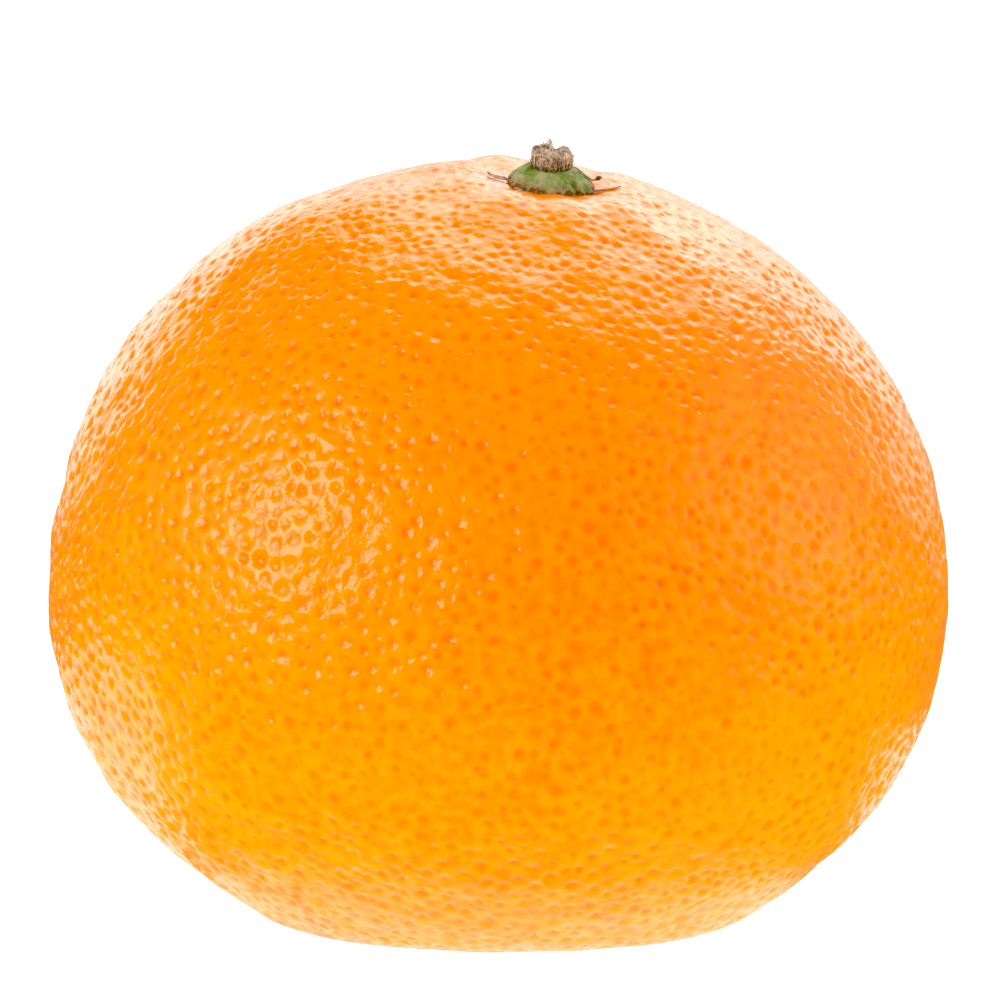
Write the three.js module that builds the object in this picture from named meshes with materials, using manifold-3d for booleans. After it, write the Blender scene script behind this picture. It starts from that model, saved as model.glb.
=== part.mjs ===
// A flat, loose-skinned orange of the mandarin kind, with the calyx button and the stub of its stalk still on.
//
// Units are millimetres and +Z is up. The fruit stands on a small flat spot, which lies in the plane z = 0, and the
// origin is in that plane, under the middle of the fruit. The stalk end leans away from +Z, a little towards +X and
// more towards -Y, as the fruit settles when it is put down.
//
// The rind is one closed surface: an oblate form with a fuller cheek, a shallow basin under the calyx and a small
// scar at the far end. Its oil glands are pits in a net of ridges, placed by the golden angle and drawn larger than
// life. The calyx is a low green dome with five blunt lobes and dried tips, and the stub is a ribbed cup, torn at
// its rim.

import * as THREE from "three";
import { ConvexHull } from "three/addons/math/ConvexHull.js";
import { mergeVertices } from "three/addons/utils/BufferGeometryUtils.js";
import Module from "manifold-3d";

const wasm = await Module();
wasm.setup();

// ---- Driving dimensions ----

const FRUIT_WIDTH = 63.4; // across the widest level, before the swellings
const HALF_WIDTH = FRUIT_WIDTH / 2;
const UPPER_HEIGHT = 0.936 * HALF_WIDTH; // from the widest level to the stalk end, along the fruit's own axis
const LOWER_HEIGHT = 0.868 * HALF_WIDTH; // from the widest level to the far end, before the flat spot is taken off
const UPPER_ROUNDNESS = 1.97; // exponents of the two super-ellipse halves, where 2 is an ellipse
const LOWER_ROUNDNESS = 1.94;
const LEAN_TO_X = THREE.MathUtils.degToRad(6.4);
const LEAN_TO_FRONT = THREE.MathUtils.degToRad(12.2);
const FLAT_SPOT_DEPTH = 0.772 * HALF_WIDTH; // from the middle of the fruit down to the surface that it stands on
const FLAT_SPOT_SOFTNESS = 1.5; // over this height the rind turns gently into the flat spot
const FLAT_SPOT_RIM = 0.1; // rind nearer to the floor than this lies flat on it, so the spot has a clear rim

// Swellings of the rind: the azimuth and elevation that they face, their half-spread, all in degrees, and their share
// of the radius.
const SWELLINGS = [
  { azimuth: 180, elevation: -38, spread: 32, share: 0.046 },
  { azimuth: 180, elevation: 48, spread: 32, share: 0.027 },
  { azimuth: 0, elevation: -38, spread: 32, share: -0.001 },
  { azimuth: 0, elevation: 48, spread: 32, share: 0.009 },
  { azimuth: 75, elevation: 10, spread: 40, share: 0.012 },
];

const GLAND_COUNT = 1080;
const GLAND_DEPTH = 0.34;
const GLAND_FLOOR = 0.23; // radius of a pit's floor, as a share of the spacing from pit to pit
const GLAND_FLOOR_CORNERS = 3;
const GLAND_VARIETY = 0.4; // share by which pits differ in width and depth
const GLAND_CROWDING = 1.22; // above 1, pits stand closer together towards the stalk end
const GLAND_JITTER = 0.45; // share of the spacing by which a pit leaves its place on the spiral
const GLAND_SEED = 20;

const BASIN_RADIUS = 4.3; // of the hollow that the calyx sits in
const BASIN_DEPTH = 0.9;
const SHOULDER_RADIUS = 6.2; // of the raised ring round that hollow
const SHOULDER_WIDTH = 2.4;
const SHOULDER_HEIGHT = 0.35;
const FURROW_COUNT = 9; // radial furrows that run out from the basin
const FURROW_DEPTH = 0.15;
const FURROW_REACH = 13;
const SCAR_RADIUS = 1.7; // of the scar at the far end, pressed into the underside
const SCAR_DEPTH = 0.55;

const CONTACT_GAP = 0.3; // between pieces that touch

const CALYX_RADIUS = 3.15;
const CALYX_LOBES = 5;
const LOBE_SHARE = 0.13; // how far the lobes stand out, as a share of the radius
const LOBE_TURN = THREE.MathUtils.degToRad(-78); // azimuth of one lobe
const CALYX_EDGE_THICKNESS = 0.6;
const CALYX_HEIGHT = 1.4; // of the seat under the stub, above the underside
const CALYX_SEAT_RADIUS = 1.5;

const STUB_RADIUS = 1.3;
const STUB_FLARE = 0.24; // how much wider the torn rim is than the waist
const STUB_HEIGHT = 0.95; // to the low parts of the rim
const STUB_HORN_HEIGHT = 0.6; // of the two torn horns above that
const STUB_WALL = 0.5;
const STUB_HOLLOW_DEPTH = 0.35;
const STUB_RIBS = 11;
const RIB_SHARE = 0.07;

// Dried tips of the lobes, as curved tapering threads: azimuth, length and how far the end lifts.
const DRIED_TIPS = [
  { azimuth: 172, length: 1.5, lift: 0.15, root: 0.5 },
  { azimuth: 22, length: 1.9, lift: 0.45, root: 0.34 },
  { azimuth: -20, length: 2.3, lift: -0.2, root: 0.36 },
];
const TIP_POINT = 0.16; // radius at the free end

const RIND_COLOUR = 0xff8f0a;
const CALYX_COLOUR = 0x808a46;
const STUB_COLOUR = 0xa58a78;

// ---- Helpers ----

const { cos, sin, PI, hypot, abs, acos, sqrt, exp, max } = Math;
const lean = new THREE.Euler(LEAN_TO_FRONT, LEAN_TO_X, 0, "XYZ");
const farEnd = new THREE.Vector3(0, 0, -LOWER_HEIGHT).applyEuler(lean);

/** A repeatable stream of numbers from 0 to 1. */
function seededRandom(seed) {
  let state = seed;
  return () => {
    state = (state + 0x6d2b79f5) | 0;
    let t = Math.imul(state ^ (state >>> 15), 1 | state);
    t = (t + Math.imul(t ^ (t >>> 7), 61 | t)) ^ t;
    return ((t ^ (t >>> 14)) >>> 0) / 4294967296;
  };
}

/** 1 at distance 0, falling smoothly as a bell of the given width. */
function bell(distance, width) {
  return exp(-((distance / width) ** 2));
}

/** The unit vector that faces an azimuth and an elevation, both in degrees. */
function facing(azimuth, elevation) {
  const a = THREE.MathUtils.degToRad(azimuth);
  const e = THREE.MathUtils.degToRad(elevation);
  return new THREE.Vector3(cos(e) * cos(a), cos(e) * sin(a), sin(e));
}

/** A geometry from a list of corners and a list of triangles. */
function geometryFrom(corners, triangles) {
  const geometry = new THREE.BufferGeometry();
  geometry.setAttribute(
    "position",
    new THREE.Float32BufferAttribute(corners.flatMap((c) => c.toArray()), 3),
  );
  geometry.setIndex(triangles.flat());
  return geometry;
}

/** A closed solid round the Z axis: rings of corners, from a point on the axis at the bottom to one at the top. */
function ringedSolid(ringCount, segments, cornerAt) {
  const corners = [cornerAt(0, 0)];
  for (let ring = 1; ring < ringCount; ring++) {
    for (let s = 0; s < segments; s++) {
      corners.push(cornerAt(ring, (2 * PI * s) / segments));
    }
  }
  corners.push(cornerAt(ringCount, 0));
  const at = (ring, s) => 1 + (ring - 1) * segments + (s % segments);
  const last = corners.length - 1;
  const triangles = [];
  for (let s = 0; s < segments; s++) {
    triangles.push([0, at(1, s + 1), at(1, s)]);
    for (let ring = 1; ring < ringCount - 1; ring++) {
      triangles.push([at(ring, s), at(ring, s + 1), at(ring + 1, s + 1)]);
      triangles.push([at(ring, s), at(ring + 1, s + 1), at(ring + 1, s)]);
    }
    triangles.push([at(ringCount - 1, s), at(ringCount - 1, s + 1), last]);
  }
  return geometryFrom(corners, triangles);
}

/** A manifold-3d solid from a closed geometry. */
function solidFrom(geometry) {
  const bare = geometry.clone();
  bare.deleteAttribute("normal");
  bare.deleteAttribute("uv");
  const merged = mergeVertices(bare, 1e-4);
  return new wasm.Manifold(
    new wasm.Mesh({
      numProp: 3,
      vertProperties: merged.attributes.position.array,
      triVerts: new Uint32Array(merged.index.array),
    }),
  );
}

/** A geometry from a manifold-3d solid. */
function geometryOf(solid) {
  const mesh = solid.getMesh();
  const geometry = new THREE.BufferGeometry();
  geometry.setAttribute("position", new THREE.BufferAttribute(mesh.vertProperties, 3));
  geometry.setIndex(new THREE.BufferAttribute(mesh.triVerts, 1));
  return geometry;
}

// ---- The rind ----

const swellings = SWELLINGS.map((s) => ({
  ...s,
  towards: facing(s.azimuth, s.elevation),
}));

/** How far the rind's mean surface is from the middle of the fruit, in a direction of the fruit's own frame. */
function fruitRadius(direction) {
  const upper = direction.z > 0;
  const height = upper ? UPPER_HEIGHT : LOWER_HEIGHT;
  const power = upper ? UPPER_ROUNDNESS : LOWER_ROUNDNESS;
  const across = hypot(direction.x, direction.y) / HALF_WIDTH;
  const along = abs(direction.z) / height;
  let radius = (across ** power + along ** power) ** (-1 / power);
  for (const s of swellings) {
    const angle = acos(THREE.MathUtils.clamp(direction.dot(s.towards), -1, 1));
    radius *= 1 + s.share * bell(THREE.MathUtils.radToDeg(angle), s.spread);
  }
  return radius;
}

/** How far the rind rises above its mean surface round the calyx, or falls below it: basin, shoulder and furrows. */
function crownRelief(fromAxis, azimuth) {
  const basin = -BASIN_DEPTH * bell(fromAxis, BASIN_RADIUS);
  const shoulder = SHOULDER_HEIGHT * bell(fromAxis - SHOULDER_RADIUS, SHOULDER_WIDTH);
  const reach = bell(fromAxis - SHOULDER_RADIUS, FURROW_REACH - SHOULDER_RADIUS);
  const opening = 1 - bell(fromAxis, BASIN_RADIUS);
  return basin + shoulder + FURROW_DEPTH * cos(FURROW_COUNT * azimuth) * reach * opening;
}

/** The point of the rind in a direction of the fruit's own frame, where the net's relief has the given height. */
function rindPoint(direction, netHeight) {
  const point = direction.clone().multiplyScalar(fruitRadius(direction));
  if (direction.z < 0) return point.addScaledVector(direction, netHeight);
  const fromAxis = hypot(point.x, point.y);
  const smoothUnderCalyx = 1 - bell(fromAxis, BASIN_RADIUS);
  const crown = crownRelief(fromAxis, Math.atan2(direction.y, direction.x));
  return point.addScaledVector(direction, crown + netHeight * smoothUnderCalyx);
}

/** A height that never falls below the floor, and turns into it smoothly. */
function settledHeight(height, floor) {
  const over = max(height - floor + FLAT_SPOT_SOFTNESS, 0);
  if (over >= 2 * FLAT_SPOT_SOFTNESS) return height;
  const clear = over ** 2 / (4 * FLAT_SPOT_SOFTNESS);
  return clear < FLAT_SPOT_RIM ? floor : floor + clear;
}

/** Leans a corner of the rind as the fruit lies, flattens it against the floor and presses the far end's scar in. */
function settle(corner) {
  corner.applyEuler(lean);
  corner.z = settledHeight(corner.z, -FLAT_SPOT_DEPTH);
  if (corner.z < 0) {
    corner.z += SCAR_DEPTH * bell(hypot(corner.x - farEnd.x, corner.y - farEnd.y), SCAR_RADIUS);
  }
}

/** The oil glands' pits: a golden-angle spiral, crowded towards the stalk end and shaken a little. */
function glandPits(random) {
  const goldenAngle = PI * (3 - sqrt(5));
  return Array.from({ length: GLAND_COUNT }, (_, i) => {
    const share = (i + 0.5) / GLAND_COUNT;
    const z = 1 - 2 * share ** GLAND_CROWDING;
    const out = sqrt(1 - z * z);
    const turn = i * goldenAngle;
    const spacing = sqrt(((4 * PI) / GLAND_COUNT) * GLAND_CROWDING * share ** (GLAND_CROWDING - 1));
    const shake = new THREE.Vector3(random() - 0.5, random() - 0.5, random() - 0.5);
    const direction = new THREE.Vector3(out * cos(turn), out * sin(turn), z)
      .addScaledVector(shake, GLAND_JITTER * spacing)
      .normalize();
    return { direction, spacing };
  });
}

/** The corners of a pit's floor, as directions round the pit's own. */
function floorCorners({ direction, spacing }, random) {
  const side = new THREE.Vector3(0, 0, 1).cross(direction).normalize();
  const size = 1 + GLAND_VARIETY * (random() - 0.5);
  const start = 2 * PI * random();
  return Array.from({ length: GLAND_FLOOR_CORNERS }, (_, k) => {
    const turn = start + (2 * PI * k) / GLAND_FLOOR_CORNERS;
    const outward = side.clone().applyAxisAngle(direction, turn);
    return direction.clone().addScaledVector(outward, GLAND_FLOOR * spacing * size).normalize();
  });
}

/** The rind's net: pits with low floors, and a high corner between each three pits that neighbour each other. */
function rindGeometry() {
  const random = seededRandom(GLAND_SEED);
  const pits = glandPits(random);
  const directions = [];
  const corners = [];
  for (const pit of pits) {
    const depth = GLAND_DEPTH * (1 + GLAND_VARIETY * (random() - 0.5));
    for (const corner of floorCorners(pit, random)) {
      directions.push(corner);
      corners.push(rindPoint(corner, GLAND_DEPTH / 2 - depth));
    }
  }
  for (const face of new ConvexHull().setFromPoints(pits.map((pit) => pit.direction)).faces) {
    const ridge = new THREE.Vector3();
    for (let k = 0; k < 3; k++) ridge.add(face.getEdge(k).head().point);
    directions.push(ridge.normalize());
    corners.push(rindPoint(ridge, GLAND_DEPTH / 2));
  }
  corners.forEach(settle);
  const index = new Map(directions.map((direction, i) => [direction, i]));
  const net = new ConvexHull().setFromPoints(directions);
  const triangles = net.faces.map((face) => [0, 1, 2].map((k) => index.get(face.getEdge(k).head().point)));
  return geometryFrom(corners, triangles);
}

// ---- The calyx ----

/** How far the calyx reaches at an azimuth, as a share of its radius: blunt lobes with tight notches between them. */
function lobeReach(azimuth) {
  const wave = abs(cos((CALYX_LOBES / 2) * (azimuth - LOBE_TURN)));
  return 1 - LOBE_SHARE + 2 * LOBE_SHARE * wave ** 0.7;
}

/** Height of the rind's surface in the calyx's frame, whose origin is the top of the mean surface. */
function rindHeight(fromAxis) {
  const rounding = (fromAxis ** 2 * UPPER_HEIGHT) / (2 * HALF_WIDTH ** 2);
  return crownRelief(fromAxis, 0) - rounding;
}

/** The dome with its lobes. Its underside follows the basin and its top has a flat seat for the stub. */
function calyxDome() {
  const segments = 50;
  const underRings = 4;
  const overRings = 7;
  const seatHeight = rindHeight(0) + CONTACT_GAP + CALYX_HEIGHT;
  return ringedSolid(underRings + overRings, segments, (ring, azimuth) => {
    const edge = CALYX_RADIUS * lobeReach(azimuth);
    if (ring <= underRings) {
      const out = (edge * ring) / underRings;
      return new THREE.Vector3(out * cos(azimuth), out * sin(azimuth), rindHeight(out) + CONTACT_GAP);
    }
    const inward = (ring - underRings - 1) / (overRings - 2); // 0 on the upper edge, 1 on the rim of the seat
    if (inward > 1) return new THREE.Vector3(0, 0, seatHeight);
    const out = THREE.MathUtils.lerp(edge, CALYX_SEAT_RADIUS, inward);
    const edgeHeight = rindHeight(edge) + CONTACT_GAP + CALYX_EDGE_THICKNESS;
    const bulge = 0.16 * sin(PI * inward);
    const height = THREE.MathUtils.lerp(edgeHeight, seatHeight, inward ** 0.85) + bulge;
    return new THREE.Vector3(out * cos(azimuth), out * sin(azimuth), height);
  });
}

/** One dried tip: a tapering thread along a curve that starts inside its lobe. */
function driedTip({ azimuth, length, lift, root }) {
  const turn = THREE.MathUtils.degToRad(azimuth);
  const start = CALYX_RADIUS - 0.8;
  const clearance = CONTACT_GAP + GLAND_DEPTH;
  const steps = 8;
  const sides = 6;
  const curveAt = (t) => {
    const out = start + (0.8 + length) * t;
    const height = rindHeight(out) + clearance + root * (1 - 0.4 * t) + lift * t * t;
    const sway = 0.25 * length * t * t * sin(turn * 3);
    return new THREE.Vector3(out, sway, height);
  };
  const thread = ringedSolid(steps, sides, (ring, around) => {
    const t = THREE.MathUtils.clamp((ring - 1) / (steps - 2), 0, 1);
    const thick = THREE.MathUtils.lerp(root, TIP_POINT, t ** 0.6);
    const radius = ring === 0 || ring === steps ? 0 : thick;
    const middle = curveAt(t);
    return new THREE.Vector3(middle.x, middle.y + radius * cos(around), middle.z + 0.8 * radius * sin(around));
  });
  return thread.rotateZ(turn);
}

/** The calyx as one solid. */
function calyxGeometry() {
  const tips = DRIED_TIPS.map((tip) => solidFrom(driedTip(tip)));
  return geometryOf(tips.reduce((joined, tip) => joined.add(tip), solidFrom(calyxDome())));
}

// ---- The stub of the stalk ----

/** Height of the torn rim at an azimuth: two horns, with low gaps at the front and the back. */
function rimHeight(azimuth) {
  const horns = STUB_HORN_HEIGHT * abs(cos(azimuth)) ** 1.5;
  const splinters = 0.13 * sin(7 * azimuth + 1) + 0.09 * sin(13 * azimuth);
  return STUB_HEIGHT + horns + splinters;
}

/** The stub: a ribbed wall that flares to the torn rim, round a shallow hollow where the pith has dried out. */
function stubGeometry() {
  const segments = 44;
  const wallRings = 6; // from the foot to the rim, outside
  const hollowRings = 3; // from the rim to the floor of the hollow
  const floorHeight = STUB_HEIGHT - STUB_HOLLOW_DEPTH;
  return ringedSolid(1 + wallRings + hollowRings, segments, (ring, azimuth) => {
    const rib = 1 + RIB_SHARE * cos(STUB_RIBS * azimuth);
    if (ring === 0) return new THREE.Vector3(0, 0, 0);
    if (ring <= wallRings) {
      const up = (ring - 1) / (wallRings - 1);
      const flare = STUB_FLARE * (up ** 2 + 0.5 * (1 - up) ** 4);
      const out = (STUB_RADIUS + flare) * rib;
      return new THREE.Vector3(out * cos(azimuth), out * sin(azimuth), up * rimHeight(azimuth));
    }
    const down = ring - wallRings; // 1 on the inner rim, then the hollow's foot, then its middle
    if (down > hollowRings) return new THREE.Vector3(0, 0, floorHeight);
    const share = (down - 1) / (hollowRings - 1);
    const out = (STUB_RADIUS + STUB_FLARE - STUB_WALL) * rib * (1 - 0.35 * share);
    const height = THREE.MathUtils.lerp(rimHeight(azimuth) - 0.05, floorHeight, share);
    return new THREE.Vector3(out * cos(azimuth), out * sin(azimuth), height);
  });
}

// ---- The orange ----

/** A named mesh with its own material. */
function piece(name, geometry, color, roughness) {
  const material = new THREE.MeshStandardMaterial({ color, roughness, metalness: 0 });
  const mesh = new THREE.Mesh(geometry, material);
  mesh.name = name;
  return mesh;
}

const fruit = piece("fruit", rindGeometry(), RIND_COLOUR, 0.42);
const calyx = piece("calyx", calyxGeometry(), CALYX_COLOUR, 0.6);
const stub = piece("stem_stub", stubGeometry(), STUB_COLOUR, 0.85);
stub.position.z = rindHeight(0) + CONTACT_GAP + CALYX_HEIGHT + CONTACT_GAP;

const crown = new THREE.Group(); // the calyx's frame, on top of the fruit's own axis
crown.add(calyx, stub);
crown.position.copy(new THREE.Vector3(0, 0, UPPER_HEIGHT).applyEuler(lean));
crown.rotation.copy(lean);

fruit.geometry.computeBoundingBox();
const middle = fruit.geometry.boundingBox.getCenter(new THREE.Vector3());
const settledFruit = new THREE.Group(); // moves the middle of the fruit over the origin and its flat spot to z = 0
settledFruit.position.set(-middle.x, -middle.y, FLAT_SPOT_DEPTH);
settledFruit.add(fruit, crown);

const orange = new THREE.Group();
orange.add(settledFruit);

export default orange;
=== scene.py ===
"""A flat, loose-skinned orange of the mandarin kind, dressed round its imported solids.

The rind is a net of some eight thousand oil-gland pits, the calyx is a ribbed green button with a ragged,
dried rim, and the stub of the stalk is a torn cup of dry fibre. Sizes are in metres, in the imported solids'
frame: +Z is up, the fruit stands on a flat spot in the plane z = 0, and its stalk end leans towards -Y and
a little towards +X.
"""

import logging
import math
from collections.abc import Iterator
from contextlib import contextmanager
from dataclasses import dataclass, field
from enum import Enum

import bpy
import numpy as np
import numpy.typing as npt
from mathutils import Matrix, Vector


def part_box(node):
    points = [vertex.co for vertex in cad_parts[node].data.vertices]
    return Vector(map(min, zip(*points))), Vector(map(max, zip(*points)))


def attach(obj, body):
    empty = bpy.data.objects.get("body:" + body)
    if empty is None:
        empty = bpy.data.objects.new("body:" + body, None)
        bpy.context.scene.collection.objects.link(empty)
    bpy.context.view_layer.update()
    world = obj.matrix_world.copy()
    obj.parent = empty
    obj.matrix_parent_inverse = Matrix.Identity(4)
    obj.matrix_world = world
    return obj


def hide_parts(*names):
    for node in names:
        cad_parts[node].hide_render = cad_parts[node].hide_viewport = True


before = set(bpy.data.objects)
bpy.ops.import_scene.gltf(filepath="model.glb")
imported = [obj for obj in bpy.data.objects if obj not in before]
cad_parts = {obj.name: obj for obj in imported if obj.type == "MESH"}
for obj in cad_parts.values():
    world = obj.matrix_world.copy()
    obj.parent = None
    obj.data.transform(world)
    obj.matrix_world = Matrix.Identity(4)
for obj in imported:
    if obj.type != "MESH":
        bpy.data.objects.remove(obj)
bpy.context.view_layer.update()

Array = npt.NDArray[np.float64]
Socket = bpy.types.NodeSocket
Place = tuple[float, float, float]
Colour = tuple[float, float, float, float]
Edge = tuple[float, float]  # Where a soft edge starts and where it ends.

MM = 0.001
GOLDEN_TURN = math.pi * (3 - math.sqrt(5))
WHITE = (1, 1, 1, 1)
DEAD_TINT = 2.0  # Tint of a gland that has dried to a speck. The others' go from 0 to 1.
BODY = "root"
log = logging.getLogger("orange")


# ---- Helpers for shapes ----

def in_mm(*lengths: float) -> tuple[float, ...]:
    """Lengths given in millimetres, in metres."""
    return tuple(length * MM for length in lengths)


def at_steps(values: tuple[float, ...], share: Array) -> Array:
    """Values between those given at equal steps, at each share of the way from the first to the last."""
    return np.interp(share, np.linspace(0, 1, len(values)), values)


def bell(distance: Array, width: float) -> Array:
    """1 at distance 0, falling smoothly as a bell of the given width."""
    return np.exp(-((distance / width) ** 2))


def unit(vectors: Array) -> Array:
    """The vectors of an (n, 3) array, each made one long."""
    return vectors / np.linalg.norm(vectors, axis=1, keepdims=True)


def facing(azimuth: float, elevation: float) -> Array:
    """The unit vector towards an azimuth, counted from +X towards +Y, and an elevation, both in degrees."""
    a, e = math.radians(azimuth), math.radians(elevation)
    return np.array([math.cos(e) * math.cos(a), math.cos(e) * math.sin(a), math.sin(e)])


def around(radius: Array | float, azimuth: Array, height: Array | float) -> Array:
    """The places at a radius and an azimuth round the Z axis and at a height, as an (n, 3) array."""
    across = np.stack([radius * np.cos(azimuth), radius * np.sin(azimuth)], axis=1)
    return np.column_stack([across, np.broadcast_to(height, azimuth.shape)])


def spiral(count: int, crowding: float = 1.0, start: float = 0.0) -> Array:
    """Evenly spread directions on a golden-angle spiral.

    Args:
        count: Number of directions.
        crowding: Above 1, they stand closer together towards +Z.
        start: Turn of the first one, in steps of the golden angle.

    Returns:
        An (n, 3) array of unit vectors, from the top down.
    """
    height = 1 - 2 * ((np.arange(count) + 0.5) / count) ** crowding
    return around(np.sqrt(1 - height**2), (np.arange(count) + start) * GOLDEN_TURN, height)


def corners_of(mesh: bpy.types.Mesh) -> Array:
    """The places of a mesh's corners, as an (n, 3) array."""
    flat = np.empty(len(mesh.vertices) * 3)
    mesh.vertices.foreach_get("co", flat)
    return flat.reshape(-1, 3)


def place_corners(mesh: bpy.types.Mesh, corners: Array) -> None:
    """Moves a mesh's corners to the places in an (n, 3) array."""
    mesh.vertices.foreach_set("co", corners.ravel())
    mesh.update()


def edges_of(mesh: bpy.types.Mesh) -> npt.NDArray[np.int32]:
    """The two corners of each edge, as an (n, 2) array."""
    flat = np.empty(len(mesh.edges) * 2, dtype=np.int32)
    mesh.edges.foreach_get("vertices", flat)
    return flat.reshape(-1, 2)


def store_numbers(mesh: bpy.types.Mesh, name: str, values: Array) -> None:
    """Keeps one number for each corner on a mesh, in place of any that it held under that name."""
    layer = mesh.attributes.get(name) or mesh.attributes.new(name, "FLOAT", "POINT")
    layer.data.foreach_set("value", values.astype(np.float32))


def deselect_all() -> None:
    """Leaves nothing selected, so that an operator acts only on what is picked next."""
    bpy.ops.object.select_all(action="DESELECT")


def pick(piece: bpy.types.Object) -> None:
    """Selects one object alone and makes it the active one."""
    deselect_all()
    piece.select_set(True)
    bpy.context.view_layer.objects.active = piece


@contextmanager
def editing(selection: str | None = "SELECT") -> Iterator[None]:
    """Edits the active mesh, with all of it or nothing selected, or the selection that it has."""
    bpy.ops.object.mode_set(mode="EDIT")
    if selection:
        bpy.ops.mesh.select_all(action=selection)
    yield
    bpy.ops.object.mode_set(mode="OBJECT")


def join(pieces: list[bpy.types.Object], name: str) -> bpy.types.Object:
    """Joins objects into one mesh.

    Args:
        pieces: The objects, at least one of them.
        name: The name of the joined piece.

    Returns:
        The joined piece, unturned and unscaled at the origin.
    """
    deselect_all()
    for part in pieces:
        part.select_set(True)
    bpy.context.view_layer.objects.active = pieces[0]
    if len(pieces) > 1:
        bpy.ops.object.join()
    bpy.ops.object.transform_apply(location=True, rotation=True, scale=True)
    pieces[0].name = name
    return pieces[0]


def seeded_waves(points: Array, wavelength: float, height: float, seed: int, count: int = 28) -> Array:
    """Gentle random swells of one wavelength, from plane waves in random directions.

    Args:
        points: An (n, 3) array of places.
        wavelength: Distance from crest to crest.
        height: Root-mean-square height.
        seed: Chooses the pattern.
        count: Number of waves added up.

    Returns:
        The height at each place.
    """
    random = np.random.default_rng(seed)
    directions = unit(random.normal(size=(count, 3)))
    stretch = random.uniform(0.75, 1.3, size=(count, 1))
    phases = random.uniform(0, 2 * math.pi, size=count)
    waves = np.cos(points @ (directions * stretch * (2 * math.pi / wavelength)).T + phases)
    return height * math.sqrt(2 / count) * waves.sum(axis=1)


def ball(name: str, segments: int, rings: int) -> bpy.types.Object:
    """Adds a round ball of radius 1 at the origin, with its poles on the Z axis."""
    deselect_all()
    bpy.ops.mesh.primitive_uv_sphere_add(segments=segments, ring_count=rings)
    piece = bpy.context.object
    piece.name = name
    return piece


def shape(piece: bpy.types.Object, corners: Array, frame_of: Matrix) -> None:
    """Moves a piece's corners to new places in a frame, and shades it smooth."""
    place_corners(piece.data, corners)
    piece.data.transform(frame_of)
    piece.data.shade_smooth()


def polar(corners: Array) -> tuple[Array, Array]:
    """For corners of a round ball, the share of the way from lower to upper pole, and the azimuth."""
    way = np.arccos(np.clip(-corners[:, 2], -1, 1)) / math.pi
    return way, np.arctan2(corners[:, 1], corners[:, 0])


def bent_path(knots: Array, share: Array) -> Array:
    """Points of a Bezier curve.

    Args:
        knots: A (k, 3) array of control points.
        share: How far along the curve each point is, from 0 to 1.

    Returns:
        An (n, 3) array of places.
    """
    order = len(knots) - 1
    weights = [math.comb(order, i) * share**i * (1 - share) ** (order - i) for i in range(order + 1)]
    return np.stack(weights, axis=1) @ knots


@dataclass(frozen=True)
class Strand:
    """A thin strand with rounded ends, such as a fibre, a thread or a dried tip.

    Attributes:
        knots: Control points of its path, in the calyx's frame.
        radii: Its half-thickness at equal steps from one end to the other.
        flatness: Its height as a share of its width.
        tones: Values of its tone at equal steps from one end to the other.
        layer: Name of the attribute that holds the tone.
    """

    knots: tuple[Place, ...]
    radii: tuple[float, ...]
    flatness: float = 1.0
    tones: tuple[float, ...] = (1.0, 1.0)
    layer: str = "rise"

    def build(self, name: str, frame_of: Matrix, segments: int = 10, rings: int = 22) -> bpy.types.Object:
        """Pulls a ball out along the path."""
        piece = ball(name, segments, rings)
        way, azimuth = polar(corners_of(piece.data))
        knots = np.array(self.knots)
        before, after = np.maximum(way - 0.01, 0), np.minimum(way + 0.01, 1)
        ahead = unit(bent_path(knots, after) - bent_path(knots, before))
        across = unit(np.cross(ahead, np.where(np.abs(ahead[:, 2:]) > 0.9, [1.0, 0, 0], [0, 0, 1.0])))
        over = np.cross(across, ahead)
        radius = at_steps(self.radii, way) * np.sqrt(np.clip(1 - (2 * way - 1) ** 8, 0, 1))
        out = across * np.cos(azimuth)[:, None] + over * (self.flatness * np.sin(azimuth))[:, None]
        shape(piece, bent_path(knots, way) + out * radius[:, None], frame_of)
        store_numbers(piece.data, self.layer, at_steps(self.tones, way))
        return piece


# ---- The fruit's form ----

@dataclass(frozen=True)
class Patch:
    """A soft round patch of the fruit, such as a swelling or a speckled place.

    Attributes:
        azimuth: Direction from +X towards +Y, in degrees.
        elevation: Direction above the widest level, in degrees.
        spread: Half-width of the patch, in degrees.
        share: Strength at its middle: a swelling's height over the radius, or the part of the glands that
            are dead.
    """

    azimuth: float
    elevation: float
    spread: float
    share: float

    def at(self, directions: Array) -> Array:
        """Its strength in each of the directions, given as unit vectors."""
        towards = facing(self.azimuth, self.elevation)
        angle = np.degrees(np.arccos(np.clip(directions @ towards, -1, 1)))
        return self.share * bell(angle, self.spread)


SWELLINGS = (
    Patch(180, -38, 32, 0.046),
    Patch(180, 48, 32, 0.027),
    Patch(0, -38, 32, -0.001),
    Patch(0, 48, 32, 0.009),
    Patch(75, 10, 40, 0.012),
)
SPECKLED = (Patch(-69.5, 5.6, 5.5, 1.0), Patch(-44.5, 1.6, 6.5, 0.6))


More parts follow.
